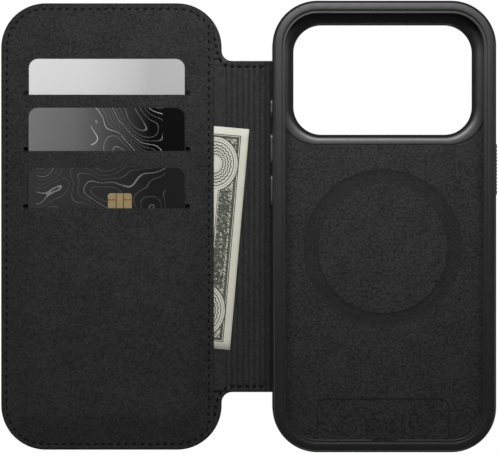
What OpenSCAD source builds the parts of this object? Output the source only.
// Phone wallet case: a folio that holds a phone, three cards and folded cash.
// It lies open and flat, inside up. Origin: centre of the magnet ring on the outer face of the back leather.
// +X runs from the folio cover to the case, +Y towards the camera end, +Z towards the phone. Millimetres.

/* [Phone] */
// Width of the phone the case is made for
phone_w = 71.9; // [71.6:0.1:72.2]
// Length of the phone
phone_l = 150; // [149:0.5:151]
// Thickness of the phone
phone_t = 8.75; // [8.5:0.05:9]

/* [Case] */
// Wall thickness of the bumper
wall_t = 2.5; // [2.3:0.1:2.6]
// Corner radius of the case's outline
case_r = 15.5; // [14:0.5:17]
// How far the lip reaches in over the phone's screen, from the outside
lip_w = 3.8; // [3.4:0.1:4]
// Distance from the ring's centre up to the case's centre
case_y = 7.6; // [7:0.1:8]

/* [Camera opening] */
// Width of the camera opening
camera_w = 62.1; // [60:0.1:62.5]
// Height of the camera opening
camera_h = 38.1; // [36:0.1:38.4]
// Corner radius of the camera opening
camera_r = 9.7; // [9:0.1:10]

/* [Folio] */
// Width of the folio cover
cover_w = 76.7; // [76:0.1:78]
// Length of the folio cover
cover_l = 155.3; // [154:0.1:156]
// Width of the spine between its two folds
spine_w = 17.1; // [17:0.05:17.4]
// Length of the spine
spine_l = 115.2; // [112:0.2:116]
// Spacing of the spine's ribs
rib_pitch = 1.97; // [1.9:0.01:2]
// Leather thickness
leather_t = 1; // [0.9:0.05:1]

/* [Cards] */
// Width of a card
card_w = 53.98; // [53.9:0.01:54]
// Length of a card
card_l = 85.6; // [85.5:0.1:85.7]
// Thickness of a card
card_t = 0.76; // [0.68:0.02:0.76]
// Free length of each card above its slit, from the top card down
card_show = [12.4, 14.95, 14]; // [12:0.05:15]
// Place of each slit's lower lip along Y
slit_y = [53.3, 33.75, 13.9]; // [13:0.05:54]

/* [Hidden] */
$fn = 64;
e = 0.05;                                   // overlap that keeps a cut clean

// Case heights: leather, shell, lining, phone, lip
shell_z = leather_t;
lining_z = shell_z + 1.2;
phone_z = lining_z + 0.4;
rim_z = phone_z + phone_t + 1.05;
case_w = phone_w + 2 * wall_t;
case_l = phone_l + 2 * (wall_t + 0.1);
seat = 1.65;                                // the back sits this far inside the bumper's outline
inner_r = case_r - wall_t;
case_left = -case_w / 2;
case_bottom = case_y - case_l / 2;
case_top = case_y + case_l / 2;

// Camera opening
camera_y = case_top - 7.6 - camera_h / 2;
camera_z = -0.8;
bezel_wall = 1.2;
bezel_foot = 3.7;
funnel_w = bezel_foot - 0.4;

// Magnets
ring_r = [23.2, 27];
ring_parts = 18;

// Buttons: centre along the wall and length
button_z = phone_z + phone_t / 2;
button_h = 3.2;
button_out = 0.5;
action_at = [48.7, 6.2];
volume_up_at = [34.65, 10.5];
volume_down_at = [20.3, 10.6];
side_at = [27.25, 17.7];
side_grooves = 13;
groove_pitch = 1.18;

// Lower end: charging port, the step round it for a plug's shell, and the sound slots beside it
port = [10.6, 5.4];
port_step = [13.4, 7.4, 0.8];
sound_slot = [11, 2];
sound_x = 14.5;

// Shallow panel pressed into the lining's lower end: width, corner radius, depth, and its upper edge
press_w = 45.6;
press_r = 3.1;
press_depth = 0.12;
press_top = -52.3;

// Folds: both axes run along Y at half the leather's thickness
case_fold = -40.15;
cover_fold = case_fold - spine_w;
flex = 0.55;                                // half the width of the leather that bends
lining_back = 0.85;                         // linings stop this far from a fold

// Cover, from the leather up
cover_right = -56;
cover_left = cover_right - cover_w;
board_t = 0.5;
lining_t = 0.25;
cash_z = leather_t + board_t + lining_t;    // floor of the cash pocket
cash_gap = 0.3;
sheet_t = 0.3;
gap = 0.03;
panel_z = cash_z + cash_gap + lining_t;
panel_right = -58.7;
level = card_t + sheet_t + 2 * gap;         // each card and its sheet raise the panel by this much
card_x = -95.8;
pocket_w = 57.7;                            // length of a slit
hat_wall = 0.75;
hat_bottom = -60.6;                         // lower end of the raised part over the cards
card_r = 3.18;
stitch_in = 2.1;
thread_w = 0.5;
thread_up = 0.15;                           // how far thread stands above what it is sewn into
rib_t = 0.6;
ribs = 7;
ribs_left = -54.5;
thread_x = [-54.1, -41];                    // ends of the stitches across the spine
margin_at = [-57.7, 4.5, 7];                // margin stitches: X, distance beyond the spine, length

// Contact chip: place, size, corner radius, thickness
chip_at = [card_x + 4.65, 12.8];
chip_size = [8.3, 12.6];
chip_r = 1;
chip_t = 0.19;

// Banknote: centre, folded size, thickness, turn
note_at = [-82.8, 5.95];
note_size = [66.3, 77];
note_t = 0.22;
note_turn = -5;

// Flat rounded rectangle with its centre at the origin
module round_rect(w, l, r) {
    square([w - 2 * r, l], center = true);
    square([w, l - 2 * r], center = true);
    for (x = [-1, 1], y = [-1, 1])
        translate([x * (w / 2 - r), y * (l / 2 - r)])
            circle(r);
}

// Rounded plate between two heights
module plate(w, l, r, z0, z1) {
    translate([0, 0, z0])
        linear_extrude(z1 - z0)
            round_rect(w, l, r);
}

// Case outline drawn in by a distance, between two heights
module case_plate(inset, z0, z1) {
    translate([0, case_y, 0])
        plate(case_w - 2 * inset, case_l - 2 * inset, case_r - inset, z0, z1);
}

// Camera opening grown by a distance, between two heights
module camera_plate(grow, z0, z1) {
    translate([0, camera_y, 0])
        plate(camera_w + 2 * grow, camera_h + 2 * grow, camera_r + grow, z0, z1);
}

// Cover outline drawn in by a distance, between two heights
module cover_plate(inset, z0, z1) {
    translate([cover_left + cover_w / 2, case_y, 0])
        plate(cover_w - 2 * inset, cover_l - 2 * inset, case_r - inset, z0, z1);
}

// Box between two corners
module box(a, b) {
    translate(a)
        cube(b - a);
}

// Box across the spine's length between two X positions
module spine_strip(x0, x1, z0, z1) {
    box([x0, case_y - spine_l / 2, z0], [x1, case_y + spine_l / 2, z1]);
}

// Pill-shaped prism lying along X, centred on a wall position
module pill(length, height, x0, x1) {
    for (s = [-1, 1])
        translate([x0, s * (length - height) / 2, 0])
            rotate([0, 90, 0])
                cylinder(d = height, h = x1 - x0);
    translate([x0, -(length - height) / 2, -height / 2])
        cube([x1 - x0, length - height, height]);
}

// Rim profile: distance in from the outline, then height
rim_profile = [[0, 1], [0.9, 0], [seat, 0], [seat, lining_z], [wall_t, lining_z],
    [wall_t, phone_z + phone_t + 0.15], [lip_w, rim_z - 0.6], [lip_w, rim_z - 0.2],
    [lip_w - 0.2, rim_z], [1.5, rim_z], [0.75, rim_z - 0.25], [0.25, rim_z - 0.8], [0, rim_z - 1.6]];

// Profile swept round the case's outline
module rim_sweep() {
    cx = case_w / 2 - case_r;
    cy = case_l / 2 - case_r;
    for (a = [0, 90, 180, 270]) {
        sx = (a == 0 || a == 270) ? 1 : -1;
        sy = (a < 180) ? 1 : -1;
        translate([sx * cx, sy * cy, 0])
            rotate([0, 0, a])
                rotate_extrude(angle = 90)
                    polygon([for (p = rim_profile) [case_r - p[0], p[1]]]);
    }
    for (s = [0, 180]) {
        rotate([0, 0, s])
            translate([case_w / 2, cy, 0])
                rotate([90, 0, 0])
                    linear_extrude(2 * cy)
                        polygon([for (p = rim_profile) [-p[0], p[1]]]);
        rotate([0, 0, s + 90])
            translate([case_l / 2, cx, 0])
                rotate([90, 0, 0])
                    linear_extrude(2 * cx)
                        polygon([for (p = rim_profile) [-p[0], p[1]]]);
    }
}

// Hole for a button: through the wall, and wider inside for the button's flange
module button_hole(at, side) {
    translate([0, at[0], button_z])
        mirror([side, 0, 0]) {
            pill(at[1] + 0.3, button_h + 0.3, case_left - 1, case_left + wall_t + 1);
            pill(at[1] + 1.9, button_h + 1.9, case_left + 1.5, case_left + wall_t + 1);
        }
}

module bumper() {
    color("#2a2a2c")
        difference() {
            translate([0, case_y, 0])
                rim_sweep();
            spine_strip(case_left - 1, case_left + seat + e, -1, leather_t + e);
            for (at = [action_at, volume_up_at, volume_down_at])
                button_hole(at, 0);
            button_hole(side_at, 1);
            // Charging port, with a shallow step for the plug's shell
            translate([0, case_bottom, button_z])
                rotate([0, 0, 90]) {
                    pill(port[0], port[1], -1, wall_t + 1);
                    pill(port_step[0], port_step[1], -1, port_step[2]);
                }
            // Sound slots on both sides of the port
            for (x = [-1, 1])
                translate([x * sound_x, case_bottom, button_z])
                    rotate([0, 0, 90])
                        pill(sound_slot[0], sound_slot[1], -1, wall_t + 1);
        }
}

module back_shell() {
    color("#1f1f21")
        difference() {
            case_plate(seat, shell_z, lining_z);
            camera_plate(funnel_w, 0, 4);
            translate([0, 0, shell_z + 0.2])
                difference() {
                    cylinder(r = ring_r[1] + 0.1, h = 2);
                    translate([0, 0, -1])
                        cylinder(r = ring_r[0] - 0.1, h = 4);
                }
            box([-3.1, -52.1, shell_z + 0.2], [3.1, -31.9, lining_z + 1]);
        }
}

module back_leather() {
    color("#1c1b1b")
        difference() {
            union() {
                case_plate(seat, 0, leather_t);
                spine_strip(case_fold + flex, 0, 0, leather_t);
            }
            camera_plate(bezel_wall + 0.02, -1, 4);
        }
}

// Edge of the opening: its own wall, then a slope up to the lining. Distances are out from the opening.
bezel_profile = [[0, camera_z + 0.3], [0.3, camera_z], [bezel_wall - 0.3, camera_z],
    [bezel_wall, camera_z + 0.3], [bezel_wall, shell_z], [funnel_w, shell_z], [funnel_w, phone_z],
    [0.5, shell_z + 0.1], [0, shell_z - 0.4]];

module camera_bezel() {
    cx = camera_w / 2 - camera_r;
    cy = camera_h / 2 - camera_r;
    color("#2c2c2e") {
        translate([0, camera_y, 0]) {
            for (a = [0, 90, 180, 270]) {
                sx = (a == 0 || a == 270) ? 1 : -1;
                sy = (a < 180) ? 1 : -1;
                translate([sx * cx, sy * cy, 0])
                    rotate([0, 0, a])
                        rotate_extrude(angle = 90)
                            polygon([for (p = bezel_profile) [camera_r + p[0], p[1]]]);
            }
            for (s = [0, 180]) {
                rotate([0, 0, s])
                    translate([camera_w / 2, cy, 0])
                        rotate([90, 0, 0])
                            linear_extrude(2 * cy)
                                polygon(bezel_profile);
                rotate([0, 0, s + 90])
                    translate([camera_h / 2, cx, 0])
                        rotate([90, 0, 0])
                            linear_extrude(2 * cx)
                                polygon(bezel_profile);
            }
        }
        // Flat flange out to the bumper's walls
        difference() {
            bezel_outline(0, case_top - wall_t, lining_z, phone_z);
            camera_plate(funnel_w - 0.3, 0, 4);
        }
    }
}

// Outline of the camera frame inside the bumper, up to a given top edge, between two heights
module bezel_outline(grow, top, z0, z1) {
    bottom = camera_y - camera_h / 2 - bezel_foot - grow;
    translate([0, (bottom + top) / 2, 0])
        plate(case_w - 2 * wall_t + 2 * grow, top - bottom, inner_r + grow, z0, z1);
}

module case_lining() {
    color("#323234")
        difference() {
            case_plate(wall_t + 0.02, lining_z, phone_z);
            bezel_outline(0.02, case_top + 20, lining_z - e, phone_z + e);
            box([-60, camera_y, 0], [60, 200, 20]);
            // Shallow ring over the magnets, and the shallow panel at the lower end
            translate([0, 0, phone_z - 0.15])
                difference() {
                    cylinder(r = ring_r[1] + 0.3, h = 1, $fn = 96);
                    translate([0, 0, -1])
                        cylinder(r = ring_r[0] - 0.6, h = 3, $fn = 96);
                }
            translate([0, press_top - 10, 0])
                plate(press_w, 20, press_r, phone_z - press_depth, phone_z + 1);
        }
}

module magnet_ring() {
    color("#b9bcc0")
        for (i = [0 : ring_parts - 1])
            rotate([0, 0, i * 360 / ring_parts])
                translate([0, 0, shell_z + 0.35])
                    rotate_extrude(angle = 360 / ring_parts - 0.6, $fn = 90)
                        translate([ring_r[0], 0])
                            square([ring_r[1] - ring_r[0], 0.8]);
}

module magnet_carrier() {
    color("#8a8d90")
        translate([0, 0, shell_z + 0.2])
            difference() {
                cylinder(r = ring_r[1], h = 0.15);
                translate([0, 0, -1])
                    cylinder(r = ring_r[0], h = 3);
            }
}

module alignment_magnet() {
    color("#b9bcc0")
        box([-3, -52, shell_z + 0.2], [3, -32, shell_z + 1]);
}

// Button cap with an inner flange. side 0 is the left wall, side 1 the right.
module button(at, side) {
    translate([0, at[0], button_z])
        mirror([side, 0, 0]) {
            pill(at[1], button_h, case_left - button_out + 0.15, case_left + 1.7);
            pill(at[1] - 0.3, button_h - 0.3, case_left - button_out, case_left + 0.5);
            pill(at[1] + 1.5, button_h + 1.5, case_left + 1.6, case_left + 2.15);
        }
}

module action_button() {
    color("#6d6e70")
        button(action_at, 0);
}

module volume_up_button() {
    color("#6d6e70")
        button(volume_up_at, 0);
}

module volume_down_button() {
    color("#6d6e70")
        button(volume_down_at, 0);
}

module side_button() {
    color("#3a3a3c")
        difference() {
            button(side_at, 1);
            for (i = [0 : side_grooves - 1])
                translate([-case_left + button_out - 0.2, side_at[0] + (i - (side_grooves - 1) / 2) * groove_pitch, 0])
                    box([0, -0.25, button_z - 3], [1, 0.25, button_z + 3]);
        }
}

module case_fold_strip() {
    color("#1c1b1b")
        spine_strip(case_fold - flex, case_fold + flex, 0, leather_t);
}

module spine_leather() {
    color("#1c1b1b")
        spine_strip(cover_fold + flex, case_fold - flex, 0, leather_t);
}

module spine_lining() {
    ribs_right = ribs_left + ribs * rib_pitch;
    color("#363638")
        difference() {
            union() {
                spine_strip(cover_fold + lining_back, ribs_left, leather_t, leather_t + lining_t);
                spine_strip(ribs_left, ribs_right, leather_t, leather_t + rib_t);
            }
            for (i = [0 : ribs - 1])
                spine_strip(ribs_left + i * rib_pitch - 0.2, ribs_left + i * rib_pitch + 0.2,
                    leather_t + lining_t, leather_t + 2);
        }
}

// Thread beads along the spine's two ends
module spine_thread() {
    color("#111112")
        for (s = [-1, 1])
            translate([0, case_y + s * (spine_l / 2 - stitch_in), 0])
                box([thread_x[0], -thread_w / 2, leather_t + rib_t],
                    [thread_x[1], thread_w / 2, leather_t + rib_t + thread_up]);
}

module cover_fold_strip() {
    color("#1c1b1b")
        spine_strip(cover_fold - flex, cover_fold + flex, 0, leather_t);
}

module cover_leather() {
    color("#1c1b1b")
        difference() {
            cover_plate(0, 0, leather_t);
            spine_strip(cover_fold - flex, 0, -1, 2);
        }
}

module cover_board() {
    color("#9a8f7d")
        board(0);
}

// Stiffener between leather and lining, grown by a small clearance
module board(grow) {
    difference() {
        cover_plate(1.8 - grow, leather_t, leather_t + board_t + grow);
        box([-59.6 + grow, -200, 0], [0, 200, 5]);
    }
}

module cash_lining() {
    color("#303032")
        difference() {
            cover_plate(0.3, leather_t, cash_z);
            spine_strip(cover_fold - lining_back, 0, 0, 5);
            board(gap);
        }
}

// Cover outline with a straight right edge, between two heights
module panel_plate(inset, z0, z1) {
    difference() {
        cover_plate(inset, z0, z1);
        box([panel_right - inset, -200, z0 - 1], [0, 200, z1 + 1]);
    }
}

module pocket_edge_strip() {
    color("#262628")
        difference() {
            panel_plate(0.3, cash_z, cash_z + cash_gap);
            cover_plate(3.3, cash_z - 1, cash_z + 1);
            box([panel_right - 5, case_y - cover_l / 2 + 3.3, 0], [0, case_y + cover_l / 2 - 3.3, 5]);
        }
}

module pocket_backer() {
    color("#262628")
        panel_plate(0.2, cash_z + cash_gap, panel_z);
}

// Height of the panel's sheet over card i, counted from the top card; 0 is the bare panel
function sheet_z(i) = panel_z + i * level;
function card_z(i) = sheet_z(i) + sheet_t + gap;
function card_y(i) = slit_y[i] + card_show[i] - card_l / 2;

module card_panel() {
    hat_w = pocket_w + 2 * hat_wall;
    stairs = [[hat_bottom, panel_z], [slit_y[0], panel_z], [slit_y[0], sheet_z(1) + sheet_t],
        [slit_y[1], sheet_z(1) + sheet_t], [slit_y[1], sheet_z(2) + sheet_t],
        [slit_y[2], sheet_z(2) + sheet_t], [slit_y[2], sheet_z(3) + sheet_t],
        [hat_bottom, sheet_z(3) + sheet_t]];
    color("#303032")
        difference() {
            union() {
                panel_plate(0, panel_z, panel_z + sheet_t);
                translate([card_x - hat_w / 2, 0, 0])
                    rotate([90, 0, 90])
                        linear_extrude(hat_w)
                            polygon(stairs);
            }
            stitch_ring(0.01, panel_z + sheet_t - 0.16, panel_z + sheet_t + 1);
            // Pocket space below each step
            box([card_x - pocket_w / 2, hat_bottom + hat_wall, panel_z - 1],
                [card_x + pocket_w / 2, slit_y[0] + 1, sheet_z(1)]);
            box([card_x - pocket_w / 2, hat_bottom + hat_wall, sheet_z(1) - e],
                [card_x + pocket_w / 2, slit_y[1], sheet_z(2)]);
            box([card_x - pocket_w / 2, hat_bottom + hat_wall, sheet_z(2) - e],
                [card_x + pocket_w / 2, slit_y[2], sheet_z(3)]);
        }
}

// Divider behind a card, level with the sheet above that card's slit
module pocket_lining(i) {
    bottom = card_y(i) - card_l / 2 - 1;
    box([card_x - pocket_w / 2 + 0.1, bottom, sheet_z(i)],
        [card_x + pocket_w / 2 - 0.1, slit_y[i] - 0.02, sheet_z(i) + sheet_t]);
}

module pocket_lining_upper() {
    color("#3c3c3e")
        pocket_lining(1);
}

module pocket_lining_lower() {
    color("#3c3c3e")
        pocket_lining(2);
}

// Line of stitches round the panel, sunk into the sheet
module stitch_ring(grow, z0, z1) {
    difference() {
        panel_plate(stitch_in - thread_w / 2 - grow, z0, z1);
        panel_plate(stitch_in + thread_w / 2 + grow, z0 - 1, z1 + 1);
    }
}

module panel_thread() {
    color("#111112")
        stitch_ring(0, panel_z + sheet_t - 0.15, panel_z + sheet_t);
}

// Thread beads on the cover's right margin, above and below the spine
module margin_thread() {
    color("#111112")
        for (s = [-1, 1])
            translate([margin_at[0], case_y + s * (spine_l / 2 + margin_at[1]), 0])
                box([-thread_w / 2, -margin_at[2] / 2, cash_z],
                    [thread_w / 2, margin_at[2] / 2, cash_z + thread_up]);
}

module card(i) {
    translate([card_x, card_y(i), 0])
        plate(card_w, card_l, card_r, card_z(i), card_z(i) + card_t);
}

// Recess and plate of the contact chip on the bottom card, between two heights above the card's face
module chip(grow, z0, z1) {
    translate([chip_at[0], chip_at[1], card_z(2) + card_t])
        plate(chip_size[0] + grow, chip_size[1] + grow, chip_r, z0, z1);
}

module card_top() {
    color("#d6d6d6")
        card(0);
}

module card_middle() {
    color("#5c5c5e")
        card(1);
}

module card_bottom() {
    color("#39393b")
        difference() {
            card(2);
            chip(0.02, -chip_t - 0.01, 10);
        }
}

module card_chip() {
    color("#b09468")
        chip(0, -chip_t - 0.01, -0.01);
}

module banknote() {
    color("#cfccbf")
        translate([note_at[0], note_at[1], cash_z + gap])
            rotate([0, 0, note_turn])
                translate([-note_size[0] / 2, -note_size[1] / 2, 0])
                    cube([note_size[0], note_size[1], note_t]);
}

bumper();
back_shell();
back_leather();
camera_bezel();
case_lining();
magnet_ring();
magnet_carrier();
alignment_magnet();
action_button();
volume_up_button();
volume_down_button();
side_button();
case_fold_strip();
spine_leather();
spine_lining();
spine_thread();
cover_fold_strip();
cover_leather();
cover_board();
cash_lining();
pocket_edge_strip();
pocket_backer();
card_panel();
pocket_lining_upper();
pocket_lining_lower();
panel_thread();
margin_thread();
card_top();
card_middle();
card_bottom();
card_chip();
banknote();
